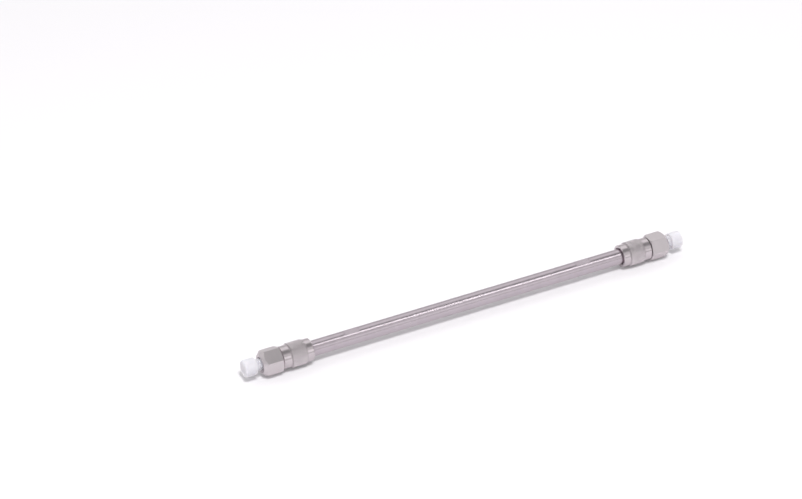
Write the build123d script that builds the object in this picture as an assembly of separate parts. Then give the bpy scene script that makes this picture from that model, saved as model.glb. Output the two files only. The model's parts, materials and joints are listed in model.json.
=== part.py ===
from build123d import *
import os
from math import cos, pi, radians, sin, tan

# A packed steel liquid chromatography column, lying on a bench.
# Millimetres. The column's axis runs along X, its middle is at x = 0, and z = 0 is the bench.
# Each end is drawn as the right-hand one, outwards along +X, and mirrored for the left.
# Angles round the axis are counted from +Y towards +Z.

# ---- column tube: quarter inch outside, analytical bore ----
TUBE_LENGTH = 150.0
TUBE_DIAMETER = 6.35
TUBE_BORE = 4.6
TUBE_END_BREAK = 0.2            # small bevel on both rims of the tube's ends
WRENCH_FLAT_ACROSS = 5.5        # over the two flats milled near each end
WRENCH_FLAT_LENGTH = 5.4        # straight part, without its run-outs
WRENCH_FLAT_SETBACK = 23.0      # from the tube's end to the flats' middle
WRENCH_FLAT_CUTTER_R = 0.7      # radius that the milling cutter leaves at each run-out

# ---- bed support: porous disc in a seal ring, one at each end of the tube ----
FRIT_DIAMETER = 5.2
FRIT_THICKNESS = 1.0
SEAL_RING_DIAMETER = 6.3

# ---- end fitting: a chamfered hexagon with a threaded nose ----
HEX_ACROSS_FLATS = 9.525        # three eighths of an inch
HEX_LENGTH = 8.2
HEX_OUTER_FACE_DIAMETER = 7.6   # flat ring left by the large outer chamfer
HEX_OUTER_CHAMFER_ANGLE = 45.0
HEX_INNER_FACE_DIAMETER = 9.3   # flat ring left by the small inner chamfer
HEX_INNER_CHAMFER_ANGLE = 60.0  # measured from the face's axis
SEAT_TO_HEX = 6.9               # from the frit's seat to the hexagon's inner face
NOSE_DIAMETER = 7.94            # five sixteenths inch thread, over its crests
NOSE_LENGTH = 10.4
NOSE_TIP_CHAMFER = 0.2
NOSE_RELIEF_DEPTH = 0.37        # thread run-out groove beside the hexagon
NOSE_RELIEF_LENGTH = 0.7
POCKET_CLEARANCE = 0.05         # radial, between the tube and its pocket
SEAT_CONE_ANGLE = 20.0          # half angle of the ferrule seat in the nose
SEAT_CONE_MOUTH_SHARE = 0.6376  # of the nose's wall at its tip; the rest is a flat lip
SPREADER_DIAMETER = 4.2         # shallow funnel behind the frit
SPREADER_DEPTH = 0.45
CAPILLARY_BORE = 0.5

# ---- port for a sixteenth inch capillary, in the outer face of each end fitting ----
PORT_DEPTH = 6.0
PORT_MOUTH_DIAMETER = 5.8       # countersink round the thread
PORT_CONE_MOUTH_DIAMETER = 3.0
PORT_CONE_ANGLE = 20.0          # half angle of the cone that a capillary's ferrule seals on
PILOT_DIAMETER = 1.6
PILOT_DEPTH = 2.5
DRILL_POINT_ANGLE = 59.0        # half angle of the drilled shoulder below the thread

# ---- transport plug ----
PLUG_STEM_DIAMETER = 4.8        # 10-32 thread, over its crests
PLUG_STEM_CLEARANCE = 0.06      # radial, in the port
PLUG_STEM_ENGAGEMENT = 4.5
PLUG_STEM_TIP_CHAMFER = 0.5
PLUG_STANDOFF = 2.2             # bare stem between the fitting and the head
PLUG_HEAD_DIAMETER = 7.0
PLUG_HEAD_LENGTH = 5.0
PLUG_HEAD_OUTER_ROUND = 0.9
PLUG_HEAD_INNER_ROUND = 0.45
PLUG_ROUND_STEPS = 3            # short cones that make up each of the head's rounded rims

# ---- coupling nut: a round sleeve with a diamond knurled band ----
NUT_TO_HEX_GAP = 0.15
NUT_LENGTH = 13.05
NUT_WALL = 0.545                # round the nose's thread
NUT_EDGE_CHAMFER = 0.25
NUT_TUBE_CLEARANCE = 0.15       # radial, where the nut's end wall passes the tube
NUT_MOUTH_DIAMETER = 7.4
NUT_MOUTH_DEPTH = 0.5
NUT_END_WALL = 1.25
NUT_THREAD_CLEARANCE = 0.06     # radial, round the nose

# ---- knurl on the nut ----
KNURL_SETBACK = 2.8             # from the nut's inner face to the knurl
KNURL_LENGTH = 7.0
KNURL_RISE = 0.4                # crests above the plain sleeve
KNURL_GROOVE_DEPTH = 0.22
KNURL_ROUND_COUNT = 36
KNURL_ALONG_COUNT = 7
KNURL_END_TAPER = 0.3           # how far the groove ends dip towards the sleeve

# ---- ferrules ----
FERRULE_TUBE_CLEARANCE = 0.01   # radial, a swaged grip
FERRULE_SEAT_CLEARANCE = 0.05   # between the front ferrule and its cone
FRONT_FERRULE_FLANGE = 0.35     # what stands out of the nose
FRONT_FERRULE_LIP = 0.12        # thickness of the wedge's front edge
BACK_FERRULE_CLEARANCE = 0.28   # radial, in the nut's cavity
BACK_FERRULE_NOSE_LENGTH = 0.3
BACK_FERRULE_NOSE_SHARE = 0.4   # of the nose's wall, how thick the leading wedge is

# ---- how it lies ----
RIGHT_HEX_TURN = 0.0            # the right hexagon lies on a flat
LEFT_HEX_TURN = 34.5            # the left one stands near a corner

# ---- values that follow ----
TUBE_R = TUBE_DIAMETER / 2
BORE_R = TUBE_BORE / 2
TUBE_END = TUBE_LENGTH / 2
SEAT = TUBE_END + FRIT_THICKNESS
HEX_IN = SEAT + SEAT_TO_HEX
HEX_OUT = HEX_IN + HEX_LENGTH
HEX_CORNER_R = HEX_ACROSS_FLATS / 2 / cos(pi / 6)
NOSE_R = NOSE_DIAMETER / 2
NOSE_TIP = HEX_IN - NOSE_LENGTH
POCKET_R = TUBE_R + POCKET_CLEARANCE
NOSE_WALL = NOSE_R - POCKET_R
SEAT_MOUTH_R = POCKET_R + SEAT_CONE_MOUTH_SHARE * NOSE_WALL
CAPILLARY_R = CAPILLARY_BORE / 2
PORT_R = PLUG_STEM_DIAMETER / 2 + PLUG_STEM_CLEARANCE
PORT_FLOOR = HEX_OUT - PORT_DEPTH
NUT_OUT = HEX_IN - NUT_TO_HEX_GAP
NUT_IN = NUT_OUT - NUT_LENGTH
NUT_SHOULDER = NUT_IN + NUT_END_WALL
NUT_CAVITY_R = NOSE_R + NUT_THREAD_CLEARANCE
NUT_R = NUT_CAVITY_R + NUT_WALL
FERRULE_BORE_R = TUBE_R + FERRULE_TUBE_CLEARANCE
FERRULE_RECESS_R = FERRULE_BORE_R + BACK_FERRULE_NOSE_SHARE * NOSE_WALL
BEYOND = 1.0                    # how far a cutter runs past what it cuts


def cone_run(radius_change, half_angle):
    """Length along the axis over which a cone of this half angle changes its radius so much."""
    return radius_change / tan(radians(half_angle))


def turned(outline):
    """Solid turned round the X axis from a closed outline of (distance along, radius) points."""
    points = [(along, radius) for along, radius in outline]
    return revolve(make_face(Polyline(*points, close=True)), Axis.X)


def lowest_reach(turn):
    """How far a hexagon turned by so many degrees reaches below the column's axis."""
    corners = [radians(turn + 60 * corner) for corner in range(6)]
    return max(-HEX_CORNER_R * sin(angle) for angle in corners)


AXIS_HEIGHT = max(lowest_reach(RIGHT_HEX_TURN), lowest_reach(LEFT_HEX_TURN))


def column_tube():
    """Straight tube with bevelled ends and a pair of wrench flats near each end."""
    outer = TUBE_R - TUBE_END_BREAK
    inner = BORE_R + TUBE_END_BREAK
    bevel_start = TUBE_END - TUBE_END_BREAK
    tube = turned([
        (-TUBE_END, inner), (-TUBE_END, outer), (-bevel_start, TUBE_R), (bevel_start, TUBE_R),
        (TUBE_END, outer), (TUBE_END, inner), (bevel_start, BORE_R), (-bevel_start, BORE_R),
    ])
    for side in (-1, 1):
        for face in (-1, 1):
            tube -= wrench_flat_cutter(side * (TUBE_END - WRENCH_FLAT_SETBACK), face)
    return tube


def wrench_flat_cutter(middle, face):
    """What the milling cutter sweeps over one flat: a slab whose lower end edges are rounded."""
    height = 2 * WRENCH_FLAT_CUTTER_R
    length = WRENCH_FLAT_LENGTH + 2 * WRENCH_FLAT_CUTTER_R
    slab = Box(length, 2 * TUBE_DIAMETER, height)
    floor_edges = slab.edges().filter_by(Axis.Y).group_by(Axis.Z)[0]
    slab = fillet(floor_edges, WRENCH_FLAT_CUTTER_R)
    slab = Pos(0, 0, WRENCH_FLAT_ACROSS / 2 + height / 2) * slab
    if face < 0:
        slab = mirror(slab, Plane.XY)
    return Pos(middle, 0, 0) * slab


def packed_bed():
    """The bed of fine particles that fills the tube's bore from frit to frit."""
    return Rot(0, 90, 0) * Cylinder(BORE_R, TUBE_LENGTH)


def frit():
    """Porous steel disc that holds the bed in."""
    radius = FRIT_DIAMETER / 2
    return turned([(TUBE_END, 0), (TUBE_END, radius), (SEAT, radius), (SEAT, 0)])


def seal_ring():
    """Plastic ring round the frit, squeezed between the tube's end and the fitting's seat."""
    inner = FRIT_DIAMETER / 2
    outer = SEAL_RING_DIAMETER / 2
    return turned([(TUBE_END, inner), (TUBE_END, outer), (SEAT, outer), (SEAT, inner)])


def end_fitting(turn):
    """Hexagon with chamfered ends, a threaded nose towards the tube and a capillary port."""
    hexagon = extrude(Plane.YZ * RegularPolygon(HEX_CORNER_R, 6, rotation=turn), HEX_LENGTH)
    body = (Pos(HEX_IN, 0, 0) * hexagon) & hexagon_chamfers()
    return body + nose() - fitting_bore() - port()


def hexagon_chamfers():
    """Double cone that leaves the round faces and the arcs at both ends of the hexagon."""
    inner = HEX_INNER_FACE_DIAMETER / 2
    outer = HEX_OUTER_FACE_DIAMETER / 2
    inner_run = cone_run(HEX_CORNER_R - inner, HEX_INNER_CHAMFER_ANGLE)
    outer_run = cone_run(HEX_CORNER_R - outer, HEX_OUTER_CHAMFER_ANGLE)
    return turned([
        (HEX_IN, 0), (HEX_IN, inner), (HEX_IN + inner_run, HEX_CORNER_R),
        (HEX_OUT - outer_run, HEX_CORNER_R), (HEX_OUT, outer), (HEX_OUT, 0),
    ])


def nose():
    """Threaded nose over its crests, with a chamfered tip and a run-out groove."""
    relief = NOSE_R - NOSE_RELIEF_DEPTH
    groove_start = HEX_IN - NOSE_RELIEF_LENGTH
    shoulder = HEX_IN + HEX_LENGTH / 2
    return turned([
        (NOSE_TIP, 0), (NOSE_TIP, NOSE_R - NOSE_TIP_CHAMFER), (NOSE_TIP + NOSE_TIP_CHAMFER, NOSE_R),
        (groove_start, NOSE_R), (groove_start, relief), (shoulder, relief), (shoulder, 0),
    ])


def fitting_bore():
    """Ferrule seat, tube pocket, spreading funnel and capillary bore, from the nose inwards."""
    cone_end = NOSE_TIP + cone_run(SEAT_MOUTH_R - POCKET_R, SEAT_CONE_ANGLE)
    return turned([
        (NOSE_TIP - BEYOND, 0), (NOSE_TIP - BEYOND, SEAT_MOUTH_R), (NOSE_TIP, SEAT_MOUTH_R),
        (cone_end, POCKET_R), (SEAT, POCKET_R), (SEAT, SPREADER_DIAMETER / 2),
        (SEAT + SPREADER_DEPTH, CAPILLARY_R), (PORT_FLOOR, CAPILLARY_R), (PORT_FLOOR, 0),
    ])


def port():
    """Capillary port: countersink, thread bore, drilled shoulder, sealing cone and pilot."""
    mouth = PORT_MOUTH_DIAMETER / 2
    cone_mouth = PORT_CONE_MOUTH_DIAMETER / 2
    pilot = PILOT_DIAMETER / 2
    shoulder_end = PORT_FLOOR - cone_run(PORT_R - cone_mouth, DRILL_POINT_ANGLE)
    cone_end = shoulder_end - cone_run(cone_mouth - pilot, PORT_CONE_ANGLE)
    pilot_end = cone_end - PILOT_DEPTH
    return turned([
        (HEX_OUT + BEYOND, 0), (HEX_OUT + BEYOND, mouth), (HEX_OUT, mouth),
        (HEX_OUT - (mouth - PORT_R), PORT_R), (PORT_FLOOR, PORT_R), (shoulder_end, cone_mouth),
        (cone_end, pilot), (pilot_end, pilot), (pilot_end, 0),
    ])


def rounded_rim(along, radius, rounding, first_angle, last_angle):
    """Points of a rim's rounding about its centre, from one angle to the other."""
    sweep = last_angle - first_angle
    angles = [radians(first_angle + sweep * step / PLUG_ROUND_STEPS) for step in range(PLUG_ROUND_STEPS + 1)]
    return [(along + rounding * cos(angle), radius + rounding * sin(angle)) for angle in angles]


def port_plug():
    """Moulded plug: a threaded stem in the port and a round head with soft edges."""
    stem = PLUG_STEM_DIAMETER / 2
    head = PLUG_HEAD_DIAMETER / 2
    tip = HEX_OUT - PLUG_STEM_ENGAGEMENT
    head_in = HEX_OUT + PLUG_STANDOFF
    head_out = head_in + PLUG_HEAD_LENGTH
    inner = PLUG_HEAD_INNER_ROUND
    outer = PLUG_HEAD_OUTER_ROUND
    return turned([
        (tip, 0), (tip, stem - PLUG_STEM_TIP_CHAMFER), (tip + PLUG_STEM_TIP_CHAMFER, stem), (head_in, stem),
        *rounded_rim(head_in + inner, head - inner, inner, 180, 90),
        *rounded_rim(head_out - outer, head - outer, outer, 90, 0), (head_out, 0),
    ])


def front_ferrule():
    """Wedge ring that the back ferrule drives into the nose's seat."""
    seat_mouth = SEAT_MOUTH_R - FERRULE_SEAT_CLEARANCE
    back = NOSE_TIP - FRONT_FERRULE_FLANGE
    tip_r = FERRULE_BORE_R + FRONT_FERRULE_LIP
    tip = NOSE_TIP + cone_run(seat_mouth - tip_r, SEAT_CONE_ANGLE)
    return turned([
        (back, FERRULE_RECESS_R), (back, seat_mouth), (NOSE_TIP, seat_mouth),
        (tip, tip_r), (tip, FERRULE_BORE_R), (back + BACK_FERRULE_NOSE_LENGTH, FERRULE_BORE_R),
    ])


def back_ferrule():
    """Ring between the nut's end wall and the front ferrule, with a small leading wedge."""
    outer = NUT_CAVITY_R - BACK_FERRULE_CLEARANCE
    front = NOSE_TIP - FRONT_FERRULE_FLANGE
    return turned([
        (NUT_SHOULDER, FERRULE_BORE_R), (NUT_SHOULDER, outer), (front, outer), (front, FERRULE_RECESS_R),
        (front + BACK_FERRULE_NOSE_LENGTH, FERRULE_BORE_R),
    ])


def coupling_nut():
    """Sleeve over the nose and ferrules, with its knurled band and a mouth round the tube."""
    rim = NUT_R - NUT_EDGE_CHAMFER
    mouth = NUT_MOUTH_DIAMETER / 2
    tube_hole = TUBE_R + NUT_TUBE_CLEARANCE
    sleeve = turned([
        (NUT_IN, 0), (NUT_IN, rim), (NUT_IN + NUT_EDGE_CHAMFER, NUT_R),
        (NUT_OUT - NUT_EDGE_CHAMFER, NUT_R), (NUT_OUT, rim), (NUT_OUT, 0),
    ])
    hollow = turned([
        (NUT_IN - BEYOND, 0), (NUT_IN - BEYOND, mouth), (NUT_IN, mouth),
        (NUT_IN + NUT_MOUTH_DEPTH, tube_hole), (NUT_SHOULDER, tube_hole),
        (NUT_SHOULDER, NUT_CAVITY_R), (NUT_OUT + BEYOND, NUT_CAVITY_R), (NUT_OUT + BEYOND, 0),
    ])
    return sleeve + knurled_band() - hollow


def knurled_band():
    """Band of pyramid diamonds left by two crossing families of V grooves.

    Grooves cross at every second point of a grid round the band, and each point between has a
    diamond's crest. Four flat facets run from each crest down to the crossings round it.
    """
    columns = 2 * KNURL_ROUND_COUNT
    rows = 2 * KNURL_ALONG_COUNT
    crest = NUT_R + KNURL_RISE
    groove = crest - KNURL_GROOVE_DEPTH
    start = NUT_IN + KNURL_SETBACK

    def point(column, row):
        is_crest = (column + row) % 2 == 1
        at_end = row in (0, rows)
        radius = crest if is_crest and not at_end else groove
        if at_end:
            radius = crest - KNURL_END_TAPER
        angle = 2 * pi * (column % columns) / columns
        return Vector(start + KNURL_LENGTH * row / rows, radius * cos(angle), radius * sin(angle))

    facets = []
    for row in range(rows):
        for column in range(columns):
            corners = [point(column, row), point(column + 1, row),
                       point(column + 1, row + 1), point(column, row + 1)]
            if (column + row) % 2 == 0:
                halves = (corners[0:3], [corners[0], corners[2], corners[3]])
            else:
                halves = ([corners[0], corners[1], corners[3]], corners[1:4])
            facets += [Face(Wire.make_polygon(half)) for half in halves]
    for row in (0, rows):
        facets.append(Face(Wire.make_polygon([point(column, row) for column in range(columns)])))
    return Solid(Shell(facets))


def write(name, shape, mirrored=False):
    """Mirror the shape if it belongs to the left end, lift it onto the bench and write its file."""
    placed = mirror(shape, Plane.YZ) if mirrored else shape
    export_step(Pos(0, 0, AXIS_HEIGHT) * placed, f"parts/{name}.step")


os.makedirs("parts", exist_ok=True)
write("column_tube", column_tube())
write("packed_bed", packed_bed())

END_PIECES = {
    "coupling_nut": coupling_nut(),
    "front_ferrule": front_ferrule(),
    "back_ferrule": back_ferrule(),
    "frit": frit(),
    "frit_seal_ring": seal_ring(),
    "port_plug": port_plug(),
}
for side, turn in (("left", LEFT_HEX_TURN), ("right", RIGHT_HEX_TURN)):
    is_left = side == "left"
    write(f"{side}_end_fitting", end_fitting(turn), is_left)
    for piece, shape in END_PIECES.items():
        write(f"{side}_{piece}", shape, is_left)
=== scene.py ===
"""A packed liquid chromatography column lying on a white bench.

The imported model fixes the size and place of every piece. This script adds what a
maker would see on them: rounded edges, cut threads, a diamond knurl, ground and
turned steel, moulded plastic, and a plain white studio round it.
"""

import json
import logging
import math
from dataclasses import dataclass
from enum import Enum
from typing import Optional, Sequence, Union

import bpy
import numpy as np
from mathutils import Matrix

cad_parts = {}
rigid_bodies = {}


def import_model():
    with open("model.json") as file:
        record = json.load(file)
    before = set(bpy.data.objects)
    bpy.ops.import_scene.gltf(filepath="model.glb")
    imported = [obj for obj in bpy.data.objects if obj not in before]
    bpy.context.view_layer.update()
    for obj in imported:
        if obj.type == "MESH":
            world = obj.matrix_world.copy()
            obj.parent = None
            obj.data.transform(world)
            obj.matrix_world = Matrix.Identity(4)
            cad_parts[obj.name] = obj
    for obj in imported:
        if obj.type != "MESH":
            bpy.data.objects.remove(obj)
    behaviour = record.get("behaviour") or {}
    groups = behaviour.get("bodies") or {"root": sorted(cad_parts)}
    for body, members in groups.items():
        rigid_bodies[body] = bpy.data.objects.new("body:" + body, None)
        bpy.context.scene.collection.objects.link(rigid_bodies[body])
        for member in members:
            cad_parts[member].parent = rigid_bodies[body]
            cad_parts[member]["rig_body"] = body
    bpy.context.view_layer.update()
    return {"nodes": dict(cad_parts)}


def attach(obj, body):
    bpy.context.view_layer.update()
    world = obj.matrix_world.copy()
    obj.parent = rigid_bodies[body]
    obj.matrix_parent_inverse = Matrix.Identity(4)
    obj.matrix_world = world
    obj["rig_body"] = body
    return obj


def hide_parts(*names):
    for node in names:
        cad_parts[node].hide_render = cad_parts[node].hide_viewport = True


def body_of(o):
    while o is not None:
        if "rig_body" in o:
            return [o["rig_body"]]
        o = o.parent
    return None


Array = np.ndarray
LOG = logging.getLogger("hplc_column")
MM = 0.001              # metres
AXIS_HEIGHT = 5.4823    # of the column's axis above the bench, in millimetres
TINY = 1e-6             # millimetres; lengths that differ by less are equal
HAIR = 0.01             # millimetres; a margin round a wall or a stretch
CLEAR = 0.001           # millimetres; the same where runs lie close


class Side(Enum):
    """The two ends of the column, with the way that each one faces along X."""

    LEFT = -1
    RIGHT = 1


# ---- shader maths


@dataclass(frozen=True)
class Signal:
    """One output socket of a node, with arithmetic that adds Math nodes."""

    graph: "Graph"
    socket: bpy.types.NodeSocket

    def __add__(self, other: "Operand") -> "Signal":
        """Sum of the two."""
        return self.graph.math("ADD", self, other)

    __radd__ = __add__

    def __sub__(self, other: "Operand") -> "Signal":
        """This less the other."""
        return self.graph.math("SUBTRACT", self, other)

    def __rsub__(self, other: "Operand") -> "Signal":
        """The other less this."""
        return self.graph.math("SUBTRACT", other, self)

    def __mul__(self, other: "Operand") -> "Signal":
        """Product of the two."""
        return self.graph.math("MULTIPLY", self, other)

    __rmul__ = __mul__

    def between(self, low: float, high: float) -> "Signal":
        """Smooth step of this: 0 at low or under, 1 at high or over.

        Args:
            low: the value that gives 0.
            high: the value that gives 1.

        Returns:
            The stepped signal.
        """
        return self.graph.signal(
            "ShaderNodeMapRange",
            settings={"interpolation_type": "SMOOTHSTEP"},
            inputs={"Value": self, "From Min": low, "From Max": high},
        )


Operand = Union[Signal, float]
Colour = Union[Signal, tuple]


class Graph:
    """The node tree of one material or of the world."""

    def __init__(self, tree: bpy.types.NodeTree) -> None:
        """Start from an empty tree."""
        self.tree = tree
        self.tree.nodes.clear()

    def node(
        self, kind: str, settings: Optional[dict] = None, inputs: Optional[dict] = None
    ) -> bpy.types.Node:
        """Add a node.

        Args:
            kind: Blender's name of the node's type.
            settings: attributes of the node, set before its sockets. The key "stops"
                holds a colour ramp's (position, colour) pairs.
            inputs: values or signals, by the socket's name or number.

        Returns:
            The new node.
        """
        node = self.tree.nodes.new(kind)
        for name, value in (settings or {}).items():
            if name != "stops":
                setattr(node, name, value)
                continue
            ramp = node.color_ramp.elements
            while len(ramp) < len(value):
                ramp.new(1.0)
            for element, (position, colour) in zip(ramp, value):
                element.position = position
                element.color = colour
        for name, value in (inputs or {}).items():
            if isinstance(value, Signal):
                self.tree.links.new(value.socket, node.inputs[name])
            else:
                node.inputs[name].default_value = value
        return node

    def signal(self, kind: str, output: Union[int, str] = 0, **options: dict) -> Signal:
        """Add a node as node() does and give one of its outputs, by name or number, as a signal."""
        return Signal(self, self.node(kind, **options).outputs[output])

    def math(self, operation: str, *values: Operand) -> Signal:
        """Add a Math node over the values."""
        inputs = dict(enumerate(values))
        return self.signal("ShaderNodeMath", settings={"operation": operation}, inputs=inputs)

    def colour_mix(self, factor: Operand, first: Colour, second: Colour) -> Signal:
        """Blend two colours.

        Args:
            factor: 0 gives the first colour and 1 the second.
            first: red, green and blue, or a colour signal.
            second: the same.

        Returns:
            The blended colour.
        """
        first, second = (end if isinstance(end, Signal) else (*end, 1.0) for end in (first, second))
        inputs = {0: factor, 6: first, 7: second}
        return self.signal("ShaderNodeMix", 2, settings={"data_type": "RGBA"}, inputs=inputs)

    def place(self, stretch: tuple = (1.0, 1.0, 1.0)) -> Signal:
        """Where a point of the surface is in its object's own space.

        Args:
            stretch: what its place is multiplied by along each axis.

        Returns:
            The place, in metres times the stretch.
        """
        point = self.signal("ShaderNodeTexCoord", output="Object")
        return self.signal(
            "ShaderNodeVectorMath", settings={"operation": "MULTIPLY"}, inputs={0: point, 1: stretch}
        )

    def xyz(self, vector: Signal) -> tuple:
        """Split a vector into its three parts."""
        parts = self.node("ShaderNodeSeparateXYZ", inputs={0: vector}).outputs
        return tuple(Signal(self, part) for part in parts)

    def relief(self, height: Operand, scale_mm: float = 1.0) -> Signal:
        """Normals of a surface raised by a height, counted in units of so many millimetres."""
        inputs = {"Strength": 1.0, "Distance": scale_mm * MM, "Height": height}
        return self.signal("ShaderNodeBump", inputs=inputs)

    def noise(
        self, grains_per_mm: float, stretch: tuple = (1.0, 1.0, 1.0), detail: float = 2.0
    ) -> Signal:
        """Cloud noise of about 0 to 1 over the object's own space.

        Args:
            grains_per_mm: how many grains fit in a millimetre where stretch is 1.
            stretch: multiplies that number along each axis.
            detail: octaves of finer noise on top.

        Returns:
            The noise as a signal.
        """
        return self.signal(
            "ShaderNodeTexNoise",
            inputs={"Vector": self.place(stretch), "Scale": grains_per_mm / MM, "Detail": detail},
        )


# ---- finishes


@dataclass(frozen=True)
class Finish:
    """What every finish has: a name and a way to make its material."""

    name: str

    def material(self) -> bpy.types.Material:
        """Make the material, with its shader on the output.

        Returns:
            The new material.
        """
        material = bpy.data.materials.new(self.name)
        material.use_nodes = True
        graph = Graph(material.node_tree)
        shader = graph.signal("ShaderNodeBsdfPrincipled", inputs=self.surface(graph))
        graph.node("ShaderNodeOutputMaterial", inputs={"Surface": shader})
        return material

    def surface(self, graph: Graph) -> dict:
        """Build the finish's nodes and give what its shader takes, by the sockets' names."""
        raise NotImplementedError


@dataclass(frozen=True)
class MachinedSteel(Finish):
    """Stainless steel with the fine rings that grinding or turning leaves round it.

    Its tone falls to the shade in broad bands. Handling marks add worn to its roughness.
    """

    colour: tuple = (0.58, 0.527, 0.55)
    shade: float = 0.92
    roughness: float = 0.22
    rings_per_mm: float = 9.0
    ring_depth_mm: float = 0.002
    grains_per_mm: float = 6.0
    grain_depth_mm: float = 0.0012
    bands_per_mm: float = 0.35
    uneven: float = 0.08
    marks_per_mm: float = 0.18
    worn: float = 0.06

    def surface(self, graph: Graph) -> dict:
        """Metal whose tone, gloss and relief vary with rings, grain and light handling marks.

        Args:
            graph: the finish's nodes.

        Returns:
            What its shader takes.
        """
        rings = graph.noise(self.rings_per_mm, (1.0, 0.04, 0.04), detail=3.0)
        bands = graph.noise(self.bands_per_mm, (1.0, 0.25, 0.25))
        grain = graph.noise(self.grains_per_mm, detail=3.0)
        marks = graph.noise(self.marks_per_mm, (0.35, 1.0, 1.0), detail=4.0).between(0.5, 0.75)
        tone = bands * 0.55 + grain * 0.45
        darker = tuple(part * self.shade for part in self.colour)
        # the knurl's painted shade and painted highlights are added here
        colour = self.painted_light(graph, graph.colour_mix(tone.between(0.3, 0.7), darker, self.colour))
        gloss = self.roughness + (bands - 0.5) * self.uneven + marks * self.worn
        height = rings * self.ring_depth_mm + grain * self.grain_depth_mm
        relief = graph.relief(height)
        return {"Base Color": colour, "Metallic": 1.0, "Roughness": gloss, "Normal": relief}

    def painted_light(self, graph: Graph, colour: Signal) -> Signal:
        """Paint shade and highlights into the colour where a finish needs them; plain steel paints none.
        """
        return colour


@dataclass(frozen=True)
class KnurledSteel(MachinedSteel):
    """Turned steel whose knurl has painted shade down in its grooves and painted highlights on its
    crests.

    How deep a point lies is its distance from the axis, from the crest's down to the groove's.
    The plain collars lie nearer the axis than any groove and keep their colour, and so do
    the knurl's tapered ends. Radii are in millimetres.
    """

    crest_radius: float = 4.955
    groove_radius: float = 4.84
    taper_radius: float = 4.79
    taper_fade: float = 0.03
    # painted shade down in the grooves
    groove_shade_colour: tuple = (0.16, 0.144, 0.15)
    # painted highlight on the crests, spread in noise patches
    crest_glint_colour: tuple = (0.93, 0.87, 0.89)
    glints_per_mm: float = 1.7
    least_glint: float = 0.05
    glint_span: float = 0.55

    def painted_light(self, graph: Graph, colour: Signal) -> Signal:
        """Blend towards painted groove shade with depth, and paint glinting highlights on the crests.

        Args:
            graph: the finish's nodes.
            colour: the steel's own colour.

        Returns:
            The colour with painted shade in the grooves and painted highlights on the crests.
        """
        _, across, above = graph.xyz(graph.place())
        across = across * (1 / MM)
        above = above * (1 / MM) - AXIS_HEIGHT
        radius = graph.math("SQRT", across * across + above * above)
        # painted shade: darker with depth down into the grooves
        depth = 1.0 - radius.between(self.groove_radius, self.crest_radius)
        on_knurl = radius.between(self.taper_radius, self.taper_radius + self.taper_fade)
        # painted highlight: noise patches of glint brighten the crests
        glint_noise = graph.noise(self.glints_per_mm, detail=1.0).between(0.38, 0.62)
        glint_share = glint_noise * self.glint_span + self.least_glint
        crest = graph.colour_mix(glint_share * on_knurl, colour, self.crest_glint_colour)
        return graph.colour_mix(depth * on_knurl, crest, self.groove_shade_colour)


@dataclass(frozen=True)
class SinteredSteel(Finish):
    """Steel powder pressed and sintered into a porous disc."""

    colour: tuple = (0.36, 0.34, 0.335)
    pore_shade: tuple = (0.09, 0.085, 0.08)
    grains_per_mm: float = 16.0
    grain_depth_mm: float = 0.02

    def surface(self, graph: Graph) -> dict:
        """Rough metal with painted shade in the low pores between its grains.

        Args:
            graph: the finish's nodes.

        Returns:
            What its shader takes.
        """
        cells = graph.signal(
            "ShaderNodeTexVoronoi", inputs={"Vector": graph.place(), "Scale": self.grains_per_mm / MM}
        )
        pores = cells.between(0.35, 0.75)
        return {
            # painted shade: the pores, low in the relief, take the dark colour
            "Base Color": graph.colour_mix(pores, self.colour, self.pore_shade),
            "Metallic": 1.0,
            "Roughness": 0.45 + pores * 0.3,
            "Normal": graph.relief(1.0 - cells, self.grain_depth_mm),
        }


@dataclass(frozen=True)
class MouldedPlastic(Finish):
    """Natural plastic as it comes from the mould, milky and slightly soft.

    Light spreads in it over the depth, and the milkiness is the share of light that does.
    """

    colour: tuple = (0.60, 0.59, 0.625)
    cloud: tuple = (0.57, 0.56, 0.60)
    clouds_per_mm: float = 0.45
    cloud_depth_mm: float = 0.01
    skin_per_mm: float = 7.0
    skin_depth_mm: float = 0.002
    roughness: float = 0.36
    uneven: float = 0.12
    refraction: float = 1.49
    depth_mm: float = 6.0
    milkiness: float = 1.0

    def surface(self, graph: Graph) -> dict:
        """Plastic that light enters, with clouds of tone and a fine moulded skin.

        Args:
            graph: the finish's nodes.

        Returns:
            What its shader takes.
        """
        clouds = graph.noise(self.clouds_per_mm, detail=3.0)
        skin = graph.noise(self.skin_per_mm)
        height = skin * self.skin_depth_mm + clouds * self.cloud_depth_mm
        return {
            "Base Color": graph.colour_mix(clouds.between(0.35, 0.7), self.colour, self.cloud),
            "Roughness": self.roughness + (skin - 0.5) * self.uneven,
            "Normal": graph.relief(height),
            "IOR": self.refraction,
            "Subsurface Weight": self.milkiness,
            "Subsurface Radius": (1.0, 0.95, 0.9),
            "Subsurface Scale": self.depth_mm * MM,
        }


@dataclass(frozen=True)
class PackedPowder(Finish):
    """White silica particles packed into a firm rod."""

    colour: tuple = (0.82, 0.82, 0.80)
    hollow_shade: tuple = (0.66, 0.66, 0.64)
    roughness: float = 0.9
    grains_per_mm: float = 20.0
    grain_depth_mm: float = 0.01

    def surface(self, graph: Graph) -> dict:
        """Matt white with a fine grain, with painted shade in its low hollows.

        Args:
            graph: the finish's nodes.

        Returns:
            What its shader takes.
        """
        grain = graph.noise(self.grains_per_mm, detail=4.0)
        return {
            # painted shade: the grain's low hollows take the darker colour
            "Base Color": graph.colour_mix(grain.between(0.35, 0.65), self.hollow_shade, self.colour),
            "Roughness": self.roughness,
            "Normal": graph.relief(grain, self.grain_depth_mm),
        }


# ---- surfaces


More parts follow.
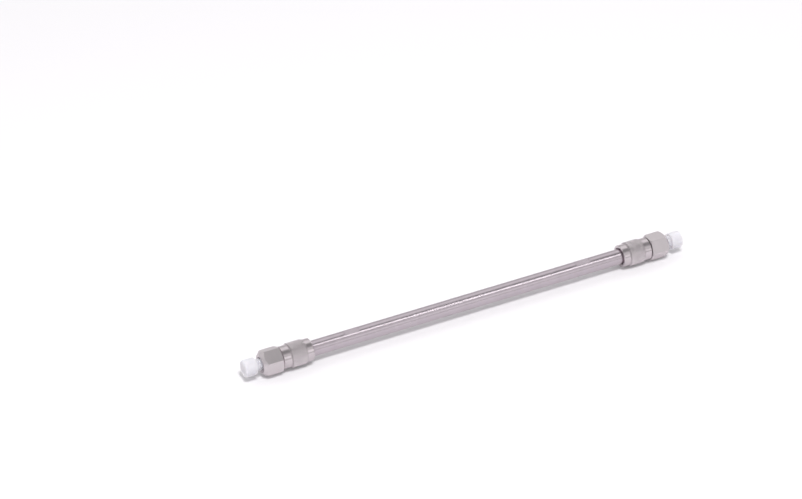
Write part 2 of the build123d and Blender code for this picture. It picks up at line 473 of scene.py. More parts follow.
def rounded_outline(corners: Sequence[tuple], steps: int = 4) -> Array:
    """Closed outline whose corners are replaced by arcs.

    A corner with radius q between two straight runs that turn by the angle w loses
    q * tan(w / 2) of each run, and an arc of that radius joins what is left.

    Args:
        corners: (along, radius, rounding) of each corner, in millimetres.
        steps: straight steps in each arc.

    Returns:
        The outline's points as rows of (along, radius).
    """
    points = np.array([corner[:2] for corner in corners], float)
    rounding = np.array([corner[2] for corner in corners], float)
    before = np.roll(points, 1, axis=0) - points
    after = np.roll(points, -1, axis=0) - points
    before_length = np.linalg.norm(before, axis=1)
    after_length = np.linalg.norm(after, axis=1)
    before /= before_length[:, None]
    after /= after_length[:, None]
    half_turn = (np.pi - np.arccos(np.clip((before * after).sum(1), -1, 1))) / 2
    trim = np.minimum(rounding * np.tan(half_turn), 0.45 * np.minimum(before_length, after_length))
    weight = np.linspace(0.0, 1.0, steps + 1)[None, :, None]
    start = points + before * trim[:, None]
    end = points + after * trim[:, None]
    # A quadratic curve from start to end with the corner as its handle stays within
    # a few percent of the arc for these turns.
    curve = (
        start[:, None] * (1 - weight) ** 2
        + points[:, None] * 2 * weight * (1 - weight)
        + end[:, None] * weight**2
    )
    return guarded(curve.reshape(-1, 2))


def guarded(outline: Array, margin: float = 0.03) -> Array:
    """Outline without doubled points, and with a point near both ends of each long run.

    The short steps beside a rounding keep its shading off the flat run next to it.

    Args:
        outline: rows of (along, radius), in millimetres.
        margin: how far those points are from a run's ends.

    Returns:
        The new outline.
    """
    gap = np.linalg.norm(np.roll(outline, -1, axis=0) - outline, axis=1)
    outline = outline[gap > TINY]
    following = np.roll(outline, -1, axis=0)
    length = np.linalg.norm(following - outline, axis=1)
    is_long = length > 4 * margin
    share = np.where(is_long, margin / length, 0.0)[:, None]
    near = outline + (following - outline) * share
    far = following + (outline - following) * share
    rows = np.stack([outline, near, far], axis=1).reshape(-1, 2)
    kept = np.stack([np.ones_like(is_long), is_long, is_long], axis=1).ravel()
    return rows[kept]


def refined(
    outline: Array, longest: float, low: float, high: float, least: float = 0.0, most: float = math.inf
) -> Array:
    """Closed outline with its runs between two places divided into short steps.

    Args:
        outline: rows of (along, radius).
        longest: the longest step allowed there, in millimetres.
        low: where the fine stretch starts along the axis.
        high: where it ends.
        least: runs nearer the axis than this are left alone.
        most: runs further from the axis than this are left alone.

    Returns:
        The outline with points added in line.
    """
    following = np.roll(outline, -1, axis=0)
    nearest = np.minimum(outline, following)
    furthest = np.maximum(outline, following)
    inside = (furthest[:, 0] > low) & (nearest[:, 0] < high)
    inside &= (nearest[:, 1] >= least) & (furthest[:, 1] <= most)
    length = np.linalg.norm(following - outline, axis=1)
    parts = np.where(inside, np.ceil(length / longest), 1).astype(int).clip(1)
    owner = np.repeat(np.arange(len(outline)), parts)
    step = np.arange(len(owner)) - np.repeat(np.cumsum(parts) - parts, parts)
    share = (step / parts[owner])[:, None]
    return outline[owner] * (1 - share) + following[owner] * share


def soft_minimum(first: Array, second: Array, blend: float) -> Array:
    """The smaller of two fields, with a rounded valley where they cross.

    Where they differ by less than the blend, a parabola takes up to a quarter of it off.

    Args:
        first: one field.
        second: the other, of a shape that broadcasts with it.
        blend: how wide the rounding is, in the fields' own units.

    Returns:
        The joined field.
    """
    near = np.clip(0.5 + 0.5 * (second - first) / blend, 0.0, 1.0)
    return second * (1 - near) + first * near - blend * near * (1 - near)


def saw(value: Array) -> Array:
    """Triangle wave: 0 at every whole number and 1 halfway between."""
    return 1.0 - np.abs(2.0 * (value - np.floor(value)) - 1.0)


def lies_on(base: Array, radius: float) -> Array:
    """Which rows of an outline have this radius."""
    return np.abs(base - radius) < TINY


def cone_run(radius_change: float, half_angle_degrees: float) -> float:
    """Length over which a cone changes its radius so much: the change over the angle's tangent."""
    return radius_change / math.tan(math.radians(half_angle_degrees))


@dataclass
class Turning:
    """A surface round the column's axis, as a grid of rows along and columns round it.

    Point (i, j) lies at along[i] on the axis and radius[i, j] from it, at the angle j / columns
    of a turn, counted from +Y towards +Z. Rows join first to last unless both ends are poles.
    """

    along: Array
    radius: Array

    @staticmethod
    def angles(columns: int) -> Array:
        """The angle of each column, in radians, as a row."""
        return (2 * np.pi * np.arange(columns) / columns)[None, :]

    def mesh(self, name: str, side: Side, sharp_degrees: float) -> bpy.types.Object:
        """Put the surface into a new smooth-shaded object, in metres.

        Args:
            name: the object's name.
            side: which end it belongs to; the left one is turned about the middle.
            sharp_degrees: edges that bend by more than this stay crisp.

        Returns:
            The new object, linked to the scene.
        """
        rows, columns = self.radius.shape
        angle = self.angles(columns)
        has_poles = bool(self.radius[0].max() < TINY and self.radius[-1].max() < TINY)
        along = np.broadcast_to(self.along[:, None], self.radius.shape) * side.value
        across, above = self.radius * np.cos(angle), self.radius * np.sin(angle)
        grid = np.stack([along, across, above + AXIS_HEIGHT], axis=-1)
        if has_poles:
            body = grid[1:-1].reshape(-1, 3)
            points = np.concatenate([body, grid[0, :1], grid[-1, :1]])
            rows -= 2
            quads = self._quads(rows, columns, closed=False)
            ring = np.arange(columns)
            onward = (ring + 1) % columns
            first, last = len(body), len(body) + 1
            end = (rows - 1) * columns
            fans = np.concatenate([
                np.stack([np.full(columns, first), onward, ring], axis=1),
                np.stack([np.full(columns, last), end + ring, end + onward], axis=1),
            ])
            faces = quads.tolist() + fans.tolist()
        else:
            points = grid.reshape(-1, 3)
            faces = self._quads(rows, columns, closed=True).tolist()
        if side is Side.LEFT:
            faces = [face[::-1] for face in faces]
        mesh = bpy.data.meshes.new(name)
        mesh.from_pydata(points * MM, [], faces)
        mesh.polygons.foreach_set("use_smooth", np.ones(len(mesh.polygons), bool))
        mesh.set_sharp_from_angle(angle=math.radians(sharp_degrees))
        mesh.update()
        piece = bpy.data.objects.new(name, mesh)
        bpy.context.scene.collection.objects.link(piece)
        return piece

    @staticmethod
    def _quads(rows: int, columns: int, closed: bool) -> Array:
        """Four-sided faces between neighbouring rows and columns.

        Args:
            rows: how many rows the grid has.
            columns: how many columns it has.
            closed: whether the last row joins the first.

        Returns:
            Rows of four corner numbers.
        """
        row = np.arange(rows if closed else rows - 1)[:, None]
        column = np.arange(columns)[None, :]
        next_row = (row + 1) % rows
        next_column = (column + 1) % columns
        corners = [row * columns + column, row * columns + next_column]
        corners += [next_row * columns + next_column, next_row * columns + column]
        return np.stack([np.broadcast_to(c, (len(row), columns)) for c in corners], -1).reshape(-1, 4)


# ---- pieces


@dataclass
class Piece:
    """What every new piece needs: its finish, which end it is drawn for and its crisp edges."""

    finish: bpy.types.Material
    side: Side = Side.RIGHT
    sharp_degrees: float = 30.0

    def fit(self, turning: Turning, name: str, node: str, slot: str) -> bpy.types.Object:
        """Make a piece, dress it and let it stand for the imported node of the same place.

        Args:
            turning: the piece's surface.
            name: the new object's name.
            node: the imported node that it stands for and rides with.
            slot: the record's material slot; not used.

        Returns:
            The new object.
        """
        piece = turning.mesh(name, self.side, self.sharp_degrees)
        piece.data.materials.append(self.finish)
        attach(piece, body_of(bpy.data.objects[node])[0])
        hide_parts(node)
        LOG.info("%s: %d faces", piece.name, len(piece.data.polygons))
        return piece


@dataclass
class ColumnTube(Piece):
    """Ground tube with a bore and two pairs of milled wrench flats."""

    length: float = 150.0
    diameter: float = 6.35
    bore: float = 4.6
    end_break: float = 0.2
    flat_across: float = 5.5
    flat_length: float = 5.4
    flat_setback: float = 23.0
    cutter_radius: float = 0.7
    columns: int = 240
    fine_step: float = 0.08
    fine_margin: float = 0.3
    edge_blend: float = 0.02
    sharp_degrees: float = 12.0

    def build(self) -> bpy.types.Object:
        """Build the tube.

        The radius is the tube's own, or where a flat is nearer, the flat's height over the
        axis divided by the cosine of the angle from its normal. Along a run-out the height
        rises as the cutter's quarter circle.

        Returns:
            The finished piece.
        """
        end, radius, bore = self.length / 2, self.diameter / 2, self.bore / 2
        rim = self.end_break
        outline = rounded_outline([
            (-end, bore + rim, 0.02), (-end, radius - rim, 0.04), (-end + rim, radius, 0.06),
            (end - rim, radius, 0.06), (end, radius - rim, 0.04), (end, bore + rim, 0.02),
            (end - rim, bore, 0.04), (-end + rim, bore, 0.04),
        ])
        outline = self._with_flat_rows(outline)
        along, base = outline[:, 0], outline[:, 1]
        height = self._flat_height(along)
        base = base[:, None]
        least_lean = 0.001  # keeps the height over the lean finite where a flat is edge-on
        lean = np.maximum(np.abs(np.sin(Turning.angles(self.columns))), least_lean)
        flat = height[:, None] / lean
        cut = np.minimum(soft_minimum(flat, base, self.edge_blend), base)
        turning = Turning(along, np.where(base > (radius + bore) / 2, cut, base))
        return self.fit(turning, "ground_tube", "column_tube", "ground_steel")

    def _with_flat_rows(self, outline: Array) -> Array:
        """Put short rows into the outline's long outer run wherever a flat is cut.

        Args:
            outline: rows of (along, radius).

        Returns:
            The outline with those rows added.
        """
        centre = self.length / 2 - self.flat_setback
        reach = self.flat_length / 2 + self.cutter_radius + self.fine_margin
        stretch = np.arange(-reach, reach, self.fine_step)
        places = np.concatenate([stretch - centre, stretch + centre])
        rows = np.stack([places, np.full_like(places, self.diameter / 2)], axis=1)
        following = np.roll(outline[:, 0], -1)
        run = int(np.argmax(following - outline[:, 0]))
        return np.insert(outline, run + 1, rows, axis=0)

    def _flat_height(self, along: Array) -> Array:
        """Height of the milled floor over the axis: level, then rising as a quarter circle.

        Args:
            along: place of each row.

        Returns:
            The height at each place, and one far outside the tube where nothing is milled.
        """
        past = np.abs(np.abs(along) - (self.length / 2 - self.flat_setback)) - self.flat_length / 2
        rise = np.clip(past, 0.0, self.cutter_radius)
        arc = self.cutter_radius - np.sqrt(self.cutter_radius**2 - rise**2)
        return np.where(past <= self.cutter_radius, self.flat_across / 2 + arc, 2 * self.diameter)


@dataclass(frozen=True)
class Thread:
    """A thread on one cylindrical wall, in millimetres; a depth over 0 cuts outwards.

    A triangle wave with flattened crests runs along the axis and falls back by one pitch
    each turn. It starts and ends at the low and high places and dies away over the fade.
    """

    wall: float
    pitch: float
    depth: float
    low: float
    high: float
    fade: float
    flat: float = 0.12

    def cut(self, along: Array, base: Array, columns: int, side: Side) -> Array:
        """Change of radius that the thread makes.

        Args:
            along: place of each row.
            base: radius of each row before the thread is cut.
            columns: how many columns the surface has.
            side: which end it is on; both ends take the same hand of thread.

        Returns:
            0 on a crest and the depth in a root, a row for each place and a column for each angle.
        """
        turn = Turning.angles(columns) / (2 * np.pi) * side.value
        wave = saw(along[:, None] / self.pitch - turn)
        form = np.clip((wave - self.flat) / (1 - 2 * self.flat), 0.0, 1.0)
        mask = np.clip((along - self.low) / self.fade, 0, 1)
        mask = (mask * np.clip((self.high - along) / self.fade, 0, 1))[:, None]
        return np.where(lies_on(base, self.wall)[:, None], form * mask * self.depth, 0.0)


@dataclass
class EndPiece(Piece):
    """What the pieces of one end share: where the hexagon starts and the thread sizes."""

    hex_inner: float = 82.9
    hex_length: float = 8.2
    nose_radius: float = 3.97
    nose_pitch: float = 25.4 / 24
    nose_thread_depth: float = 0.30
    port_pitch: float = 25.4 / 32
    port_thread_depth: float = 0.26
    inner_thread_share: float = 0.6

    @property
    def hex_outer(self) -> float:
        """Distance from the middle to the hexagon's outer face."""
        return self.hex_inner + self.hex_length

    def fit_end(self, turning: Turning, shown: str, packed: str, slot: str) -> bpy.types.Object:
        """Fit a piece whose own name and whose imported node's name start with this end's word."""
        names = (f"{self.side.name.lower()}_{word}" for word in (shown, packed))
        return self.fit(turning, *names, slot)


@dataclass
class CouplingNut(EndPiece):
    """Round sleeve with a diamond knurled band, a threaded cavity and a mouth round the tube."""

    gap: float = 0.15
    length: float = 13.05
    radius: float = 4.575
    edge: float = 0.25
    mouth_radius: float = 3.7
    mouth_depth: float = 0.5
    hole_radius: float = 3.325
    end_wall: float = 1.25
    cavity_radius: float = 4.03
    knurl_setback: float = 2.8
    knurl_length: float = 7.0
    crest_radius: float = 4.975
    groove_depth: float = 0.14
    end_taper: float = 0.3
    taper_length: float = 0.5
    diamonds_round: int = 36
    diamonds_along: int = 7
    columns_per_diamond: int = 12
    rows_per_diamond: int = 10
    rows_per_pitch: int = 5
    crest_flat: float = 0.28
    wall_margin: float = 0.1
    thread_setback: float = 1.6
    thread_fade: float = 0.4

    def build(self) -> bpy.types.Object:
        """Build the nut.

        On the knurl the radius is the groove's plus the depth times the smaller of two triangle
        waves, one for each hand of groove: the turn times the number of diamonds round, plus or
        minus the place times the number along. It is clipped to leave a small flat on each crest,
        and the ends taper down to the sleeve.

        Returns:
            The finished piece.
        """
        out = self.hex_inner - self.gap
        start = out - self.length
        shoulder = start + self.end_wall
        knurl_in = start + self.knurl_setback
        knurl_out = knurl_in + self.knurl_length
        root = self.crest_radius - self.end_taper
        outline = rounded_outline([
            (start, self.mouth_radius, 0.06), (start, self.radius - self.edge, 0.08),
            (start + self.edge, self.radius, 0.1), (knurl_in, self.radius, 0.01),
            (knurl_in, root, 0.03), (knurl_out, root, 0.03), (knurl_out, self.radius, 0.01),
            (out - self.edge, self.radius, 0.1), (out, self.radius - self.edge, 0.08),
            (out, self.cavity_radius, 0.03), (shoulder, self.cavity_radius, 0.05),
            (shoulder, self.hole_radius, 0.03), (start + self.mouth_depth, self.hole_radius, 0.05),
        ], steps=3)
        knurl_step = self.knurl_length / self.diamonds_along / self.rows_per_diamond
        outline = refined(outline, knurl_step, knurl_in + CLEAR, knurl_out - CLEAR)
        outline = self._thin_inside(outline, shoulder, out)
        along, base = outline[:, 0], outline[:, 1]
        columns = self.diamonds_round * self.columns_per_diamond
        turn = Turning.angles(columns) / (2 * np.pi) * self.diamonds_round
        place = ((along - knurl_in) / self.knurl_length * self.diamonds_along)[:, None]
        pyramid = np.minimum(saw(turn + place), saw(turn - place))
        relief = np.minimum(pyramid, self.crest_flat) / self.crest_flat
        from_end = np.minimum(along - knurl_in, knurl_out - along)
        taper = np.clip(1 - from_end / self.taper_length, 0, 1) * self.end_taper
        knurl = self.crest_radius - self.groove_depth * (1 - relief) - taper[:, None]
        is_knurl = lies_on(base, root) & (from_end > 0)
        radius = np.where(is_knurl[:, None], np.maximum(knurl, root), base[:, None])
        depth = self.nose_thread_depth * self.inner_thread_share
        low = shoulder + self.thread_setback
        thread = Thread(self.cavity_radius, self.nose_pitch, depth, low, out, self.thread_fade)
        radius = radius + thread.cut(along, base, columns, self.side)
        return self.fit_end(Turning(along, radius), "knurled_nut", "coupling_nut", "turned_steel")

    def _thin_inside(self, outline: Array, low: float, high: float) -> Array:
        """Divide the cavity's wall for its thread, more coarsely than the knurl.

        Args:
            outline: rows of (along, radius).
            low: where the wall starts.
            high: where it ends.

        Returns:
            The outline with new rows on that wall.
        """
        inside = lies_on(outline[:, 1], self.cavity_radius)
        kept = outline[~inside]
        step = self.nose_pitch / self.rows_per_pitch
        wall = np.arange(high - self.wall_margin, low + self.wall_margin, -step)
        rows = np.stack([wall, np.full_like(wall, self.cavity_radius)], axis=1)
        first = int(np.argmax(inside))
        return np.concatenate([kept[:first], rows, kept[first:]])


@dataclass
class EndFitting(EndPiece):
    """Hexagon with chamfered ends, a threaded nose and a coned capillary port.

    The hexagon is turned about the axis by the turn in degrees.
    """

    turn_degrees: float = 0.0
    across_flats: float = 9.525
    outer_face_radius: float = 3.8
    inner_face_radius: float = 4.65
    inner_chamfer_degrees: float = 60.0
    nose_length: float = 10.4
    nose_chamfer: float = 0.2
    relief_radius: float = 3.6
    relief_length: float = 0.7
    seat: float = 76.0
    seat_mouth_radius: float = 3.7
    pocket_radius: float = 3.225
    spreader_radius: float = 2.1
    spreader_depth: float = 0.45
    capillary_radius: float = 0.25
    port_radius: float = 2.46
    port_mouth_radius: float = 2.9
    port_depth: float = 6.0
    cone_radius: float = 1.5
    pilot_radius: float = 0.8
    pilot_depth: float = 2.5
    drill_degrees: float = 59.0
    cone_degrees: float = 20.0
    columns: int = 240
    rows_per_pitch: int = 7
    chamfer_step: float = 0.12
    inner_chamfer_reach: float = 1.0
    outer_chamfer_reach: float = 2.2
    corner_blend: float = 0.10
    chamfer_blend: float = 0.07
    nose_setbacks: tuple = (0.35, 0.05)
    nose_fade: float = 0.5
    port_setbacks: tuple = (0.5, 0.4)
    port_fade: float = 0.3

    def build(self) -> bpy.types.Object:
        """Build the fitting.

        The outer radius is the smallest of the turned outline and of six flats, each at half the
        width over flats divided by the cosine of the angle from its middle.

        Returns:
            The finished piece.
        """
        corner = self.across_flats / 2 / math.cos(math.pi / 6)
        tip = self.hex_inner - self.nose_length
        groove = self.hex_inner - self.relief_length
        out = self.hex_outer
        inner_run = cone_run(corner - self.inner_face_radius, self.inner_chamfer_degrees)
        floor = out - self.port_depth
        shoulder = floor - cone_run(self.port_radius - self.cone_radius, self.drill_degrees)
        cone_end = shoulder - cone_run(self.cone_radius - self.pilot_radius, self.cone_degrees)
        seat_end = tip + cone_run(self.seat_mouth_radius - self.pocket_radius, self.cone_degrees)
        outline = rounded_outline([
            (tip, self.seat_mouth_radius, 0.02), (tip, self.nose_radius - self.nose_chamfer, 0.03),
            (tip + self.nose_chamfer, self.nose_radius, 0.05), (groove, self.nose_radius, 0.03),
            (groove, self.relief_radius, 0.08), (self.hex_inner, self.relief_radius, 0.12),
            (self.hex_inner, self.inner_face_radius, 0.1), (self.hex_inner + inner_run, corner, 0.12),
            (out - corner + self.outer_face_radius, corner, 0.25), (out, self.outer_face_radius, 0.18),
            (out, self.port_mouth_radius, 0.06),
            (out - self.port_mouth_radius + self.port_radius, self.port_radius, 0.05),
            (floor, self.port_radius, 0.05), (shoulder, self.cone_radius, 0.04),
            (cone_end, self.pilot_radius, 0.04), (cone_end - self.pilot_depth, self.pilot_radius, 0.03),
            (cone_end - self.pilot_depth, self.capillary_radius, 0.02),
            (self.seat + self.spreader_depth, self.capillary_radius, 0.03),
            (self.seat, self.spreader_radius, 0.03), (self.seat, self.pocket_radius, 0.03),
            (seat_end, self.pocket_radius, 0.05),
        ], steps=3)
        outline = self._with_fine_rows(outline, tip, groove, floor)
        along, base = outline[:, 0], outline[:, 1]
        radius = base[:, None] + np.zeros(self.columns)
        is_hex = (along > self.hex_inner - TINY) & (base > self.relief_radius + 2 * HAIR)
        hexed = np.minimum(soft_minimum(radius, self._flats(), self.chamfer_blend), radius)
        radius = np.where(is_hex[:, None], hexed, radius)
        nose = (tip + self.nose_setbacks[0], groove - self.nose_setbacks[1], self.nose_fade)
        port = (floor + self.port_setbacks[0], out - self.port_setbacks[1], self.port_fade)
        port_depth = self.port_thread_depth * self.inner_thread_share
        for thread in (
            Thread(self.nose_radius, self.nose_pitch, -self.nose_thread_depth, *nose),
            Thread(self.port_radius, self.port_pitch, port_depth, *port),
        ):
            radius = radius + thread.cut(along, base, self.columns, self.side)
        return self.fit_end(Turning(along, radius), "hexagon_fitting", "end_fitting", "turned_steel")

    def _with_fine_rows(self, outline: Array, tip: float, groove: float, floor: float) -> Array:
        """Divide the outline where threads are cut and where the chamfers meet the flats.

        Args:
            outline: rows of (along, radius).
            tip: where the nose starts.
            groove: where its thread ends.
            floor: where the port's thread starts.

        Returns:
            The outline with short steps there.
        """
        hex_in, out = self.hex_inner, self.hex_outer
        nose_step, port_step = (p / self.rows_per_pitch for p in (self.nose_pitch, self.port_pitch))
        port_end = out - self.port_mouth_radius + self.port_radius - 2 * HAIR
        inner, outer = hex_in + self.inner_chamfer_reach, out - self.outer_chamfer_reach
        for stretch in (
            (nose_step, tip + self.nose_chamfer + HAIR, groove - HAIR, self.nose_radius - HAIR),
            (self.chamfer_step, hex_in + CLEAR, inner, self.relief_radius),
            (self.chamfer_step, outer, out - CLEAR, self.port_mouth_radius),
            (port_step, floor + 6 * HAIR, port_end, self.port_radius - HAIR, self.port_radius + HAIR),
        ):
            outline = refined(outline, *stretch)
        return outline

    def _flats(self) -> Array:
        """The hexagon's outline, softened where two flats meet.

        Returns:
            Its radius at each column, as a row.
        """
        angle = Turning.angles(self.columns) - math.radians(self.turn_degrees)
        from_corner = (angle + np.pi / 6) % (np.pi / 3) - np.pi / 6
        one = self.across_flats / 2 / np.cos(from_corner + np.pi / 6)
        other = self.across_flats / 2 / np.cos(from_corner - np.pi / 6)
        return soft_minimum(one, other, self.corner_blend)


@dataclass
class PortPlug(EndPiece):
    """Moulded plug with a threaded stem and a round head with soft edges."""

    stem_radius: float = 2.4
    engagement: float = 4.5
    tip_chamfer: float = 0.5
    standoff: float = 2.2
    head_radius: float = 3.5
    head_length: float = 5.0
    outer_round: float = 0.9
    inner_round: float = 0.45
    thread_depth: float = 0.24
    thread_setback: float = 0.4
    thread_past_face: float = 1.5
    thread_fade: float = 0.4
    columns: int = 144
    rows_per_pitch: int = 10
    head_step: float = 0.3
    sharp_degrees: float = 40.0

    def build(self) -> bpy.types.Object:
        """Build the plug, as an outline turned from pole to pole.

        Returns:
            The finished piece.
        """
        tip = self.hex_outer - self.engagement
        head_in = self.hex_outer + self.standoff
        head_out = head_in + self.head_length
        outline = rounded_outline([
            (tip, 0.0, 0.0), (tip, self.stem_radius - self.tip_chamfer, 0.08),
            (tip + self.tip_chamfer, self.stem_radius, 0.1), (head_in, self.stem_radius, 0.2),
            (head_in, self.head_radius, self.inner_round), (head_out, self.head_radius, self.outer_round),
            (head_out, 0.0, 0.0),
        ], steps=8)
        low, high = tip + self.thread_setback, self.hex_outer + self.thread_past_face
        step, margin = self.port_pitch / self.rows_per_pitch, 10 * HAIR
        outline = refined(outline, step, low + margin, high + margin)
        outline = refined(outline, self.head_step, head_in + margin, head_out - margin)
        first_pole = int(np.argmin(outline[:, 0] + outline[:, 1]))
        outline = np.roll(outline, -first_pole, axis=0)
        kept = (outline[:, 1] > TINY) | (np.arange(len(outline)) == 0)
        outline = np.concatenate([outline[kept], [[head_out, 0.0]]])
        along, base = outline[:, 0], outline[:, 1]
        depth = -self.thread_depth
        thread = Thread(self.stem_radius, self.port_pitch, depth, low, high, self.thread_fade)
        radius = base[:, None] + thread.cut(along, base, self.columns, self.side)
        return self.fit_end(Turning(along, radius), "moulded_plug", "port_plug", "plug_plastic")


# ---- studio


@dataclass(frozen=True)
class Softbox:
    """One rectangular studio lamp: where it stands and its size in metres, its power in watts.

    A lamp may be left out of what matt surfaces or steel show, and may light only one piece.
    """

    name: str
    place: tuple
    size: tuple
    power: float
    on_matt: bool = True
    on_steel: bool = True
    only: str = ""

    def light(self) -> bpy.types.Object:
        """Add the lamp, turned towards the column's middle.

        Returns:
            The lamp's object, linked to the scene.
        """
        lamp = bpy.data.lights.new(self.name, "AREA")
        lamp.shape = "RECTANGLE"
        lamp.size, lamp.size_y = self.size
        lamp.energy = self.power
        stand = bpy.data.objects.new(self.name, lamp)
        stand.visible_diffuse = self.on_matt
        stand.visible_glossy = self.on_steel
        if self.only:
            lit = bpy.data.collections.new(f"{self.name}_lights")
            lit.objects.link(bpy.data.objects[self.only])
            stand.light_linking.receiver_collection = lit
        away = np.array(self.place) / np.linalg.norm(self.place)
        right = np.cross((0.0, 0.0, 1.0), away)
        right /= np.linalg.norm(right)
        stand.matrix_world = frame_matrix(right, np.cross(away, right), away, self.place)
        bpy.context.scene.collection.objects.link(stand)
        return stand


def frame_matrix(right: Array, up: Array, back: Array, place: Sequence[float]) -> Matrix:
    """Matrix whose columns are the three given directions and a place."""
    rows = [[*values] for values in zip(right, up, back, place)]
    return Matrix([*rows, [0.0, 0.0, 0.0, 1.0]])


@dataclass(frozen=True)
class Vault:
    """The studio's walls and ceiling, as greys round the column's own axis.

    Each stop is an angle and a brightness: 0 degrees is the horizon in front of the column,
    90 is overhead and 180 the horizon behind it. The colour ramp holds them as shares of the peak.
    """

    stops: tuple = (
        (0, 0.78), (15, 0.76), (26, 0.71), (34, 0.74), (44, 0.90), (54, 0.80), (66, 0.45),
        (84, 0.36), (96, 0.50), (108, 1.02), (122, 1.20), (140, 1.04), (156, 0.74), (180, 0.74),
    )
    peak: float = 1.22

    def world(self) -> bpy.types.World:
        """Make the world that lights and surrounds the scene.

        Returns:
            The new world.
        """
        world = bpy.data.worlds.new("studio")
        world.use_nodes = True
        graph = Graph(world.node_tree)
        _, behind, above = graph.xyz(graph.signal("ShaderNodeTexCoord", output="Generated"))
        angle = graph.math("ARCTAN2", above, behind * -1.0)
        stops = [(degrees / 180, (*[level / self.peak] * 3, 1.0)) for degrees, level in self.stops]
        grey = graph.signal(
            "ShaderNodeValToRGB", settings={"stops": stops}, inputs={0: angle * (1 / math.pi)}
        )
        light = graph.signal("ShaderNodeBackground", inputs={"Color": grey, "Strength": self.peak})
        graph.node("ShaderNodeOutputWorld", inputs={"Surface": light})
        return world


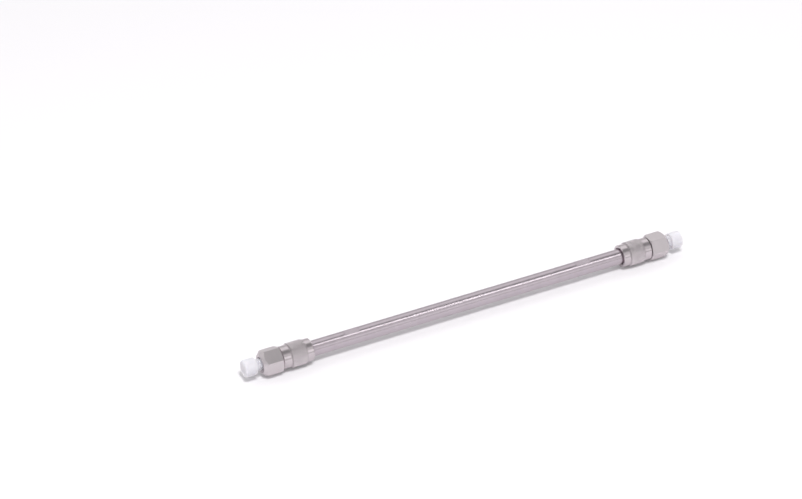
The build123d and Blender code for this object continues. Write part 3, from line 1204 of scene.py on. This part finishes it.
@dataclass
class Studio:
    """White bench, grey vault, softboxes and the camera, in degrees and metres."""

    focal_pixels: float = 2863.3
    image_width: int = 802
    azimuth: float = -27.23
    elevation: float = 33.98
    roll: float = -0.08
    camera_place: tuple = (-0.4497, -0.8156, 0.6580)
    floor_size: float = 6.0
    floor_tone: tuple = (0.745, 0.73, 0.75)
    floor_glow: float = 0.06
    softboxes: tuple = (
        Softbox("key_softbox", (-0.12, -0.51, 1.17), (0.30, 0.30), 12.0, on_steel=False),
        Softbox(
            "strip_softbox", (0.37, -0.32, 0.87), (0.09, 0.50), 0.75, on_matt=False, only="ground_tube"
        ),
        Softbox("front_card", (0.45, -1.02, 0.43), (0.35, 0.45), 0.30, on_matt=False),
    )

    def build(self) -> None:
        """Set up everything that isn't part of the column."""
        scene = bpy.context.scene
        scene.view_settings.view_transform = "Standard"
        scene.world = Vault().world()
        self._camera(scene)
        self._floor()
        for softbox in self.softboxes:
            softbox.light()
            LOG.info("%s lit", softbox.name)

    def _camera(self, scene: bpy.types.Scene) -> None:
        """Camera at its azimuth, elevation and roll, with the lens that gives its focal length.

        Args:
            scene: the scene that looks through it.
        """
        azimuth, elevation, roll = (math.radians(v) for v in (self.azimuth, self.elevation, self.roll))
        back = np.array([
            math.sin(azimuth) * math.cos(elevation),
            -math.cos(azimuth) * math.cos(elevation),
            math.sin(elevation),
        ])
        level = np.array([math.cos(azimuth), math.sin(azimuth), 0.0])
        upright = np.cross(back, level)
        right = math.cos(roll) * level + math.sin(roll) * upright
        up = math.cos(roll) * upright - math.sin(roll) * level
        data = bpy.data.cameras.new("camera")
        data.sensor_width = 36.0
        data.lens = self.focal_pixels / self.image_width * data.sensor_width
        camera = bpy.data.objects.new("camera", data)
        camera.matrix_world = frame_matrix(right, up, back, self.camera_place)
        scene.collection.objects.link(camera)
        scene.camera = camera

    def _floor(self) -> None:
        """Large white bench that keeps the column's shadow and glows a little to eye and steel."""
        corners = np.array([(-1, -1, 0), (1, -1, 0), (1, 1, 0), (-1, 1, 0)]) * (self.floor_size / 2)
        mesh = bpy.data.meshes.new("bench")
        mesh.from_pydata(corners, [], [(0, 1, 2, 3)])
        bench = bpy.data.objects.new("bench", mesh)
        bpy.context.scene.collection.objects.link(bench)
        material = bpy.data.materials.new("bench_white")
        material.use_nodes = True
        graph = Graph(material.node_tree)
        matt = graph.signal("ShaderNodeBsdfDiffuse", inputs={"Color": (*self.floor_tone, 1)})
        seen = graph.signal("ShaderNodeLightPath", "Is Camera Ray")
        for kind in ("Is Glossy Ray", "Is Transmission Ray"):
            seen = graph.math("MAXIMUM", seen, graph.signal("ShaderNodeLightPath", kind))
        strength = seen * self.floor_glow
        glow = graph.signal("ShaderNodeEmission", inputs={"Color": (1, 1, 1, 1), "Strength": strength})
        both = graph.signal("ShaderNodeAddShader", inputs={0: matt, 1: glow})
        graph.node("ShaderNodeOutputMaterial", inputs={"Surface": both})
        mesh.materials.append(material)


# ---- main


@dataclass
class Column:
    """The whole column: which finish each piece takes, and in which order they are made.

    The turns are those of the two hexagons about the axis, in degrees.
    """

    nodes: dict
    left_turn: float = 34.5
    right_turn: float = 0.0

    def build(self) -> None:
        """Build the shown pieces and dress the ones inside."""
        ground = MachinedSteel(
            "ground_steel", (0.50, 0.444, 0.482), roughness=0.24, rings_per_mm=7.0, ring_depth_mm=0.006
        ).material()
        turned = KnurledSteel("turned_steel", ring_depth_mm=0.0012, roughness=0.13).material()
        milled = MachinedSteel("milled_steel", colour=(0.645, 0.597, 0.616), roughness=0.46).material()
        plastic = MouldedPlastic("milky_plastic").material()
        ColumnTube(ground).build()
        for side, turn in ((Side.LEFT, self.left_turn), (Side.RIGHT, self.right_turn)):
            CouplingNut(turned, side).build()
            EndFitting(milled, side, turn_degrees=turn).build()
            PortPlug(plastic, side).build()
        self._dress_inside()

    def _dress_inside(self) -> None:
        """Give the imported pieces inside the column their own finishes."""
        finishes = {
            "packed_bed": PackedPowder("silica_bed"),
            "front_ferrule": MachinedSteel("front_ferrule_steel", roughness=0.2),
            "back_ferrule": MachinedSteel("back_ferrule_steel", roughness=0.24),
            "frit_seal_ring": MouldedPlastic(
                "seal_plastic", colour=(0.76, 0.73, 0.64), cloud=(0.70, 0.67, 0.58)
            ),
            "frit": SinteredSteel("sintered_steel"),
        }
        for ending, finish in finishes.items():
            material = finish.material()
            for node, piece in self.nodes.items():
                if node.endswith(ending):
                    piece.data.materials.clear()
                    piece.data.materials.append(material)
                    LOG.info("%s takes %s", node, finish.name)


def main() -> None:
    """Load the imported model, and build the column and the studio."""
    logging.basicConfig(level=logging.INFO, format="%(name)s: %(message)s")
    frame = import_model()
    Column(frame["nodes"]).build()
    Studio().build()


if __name__ == "__main__":
    main()
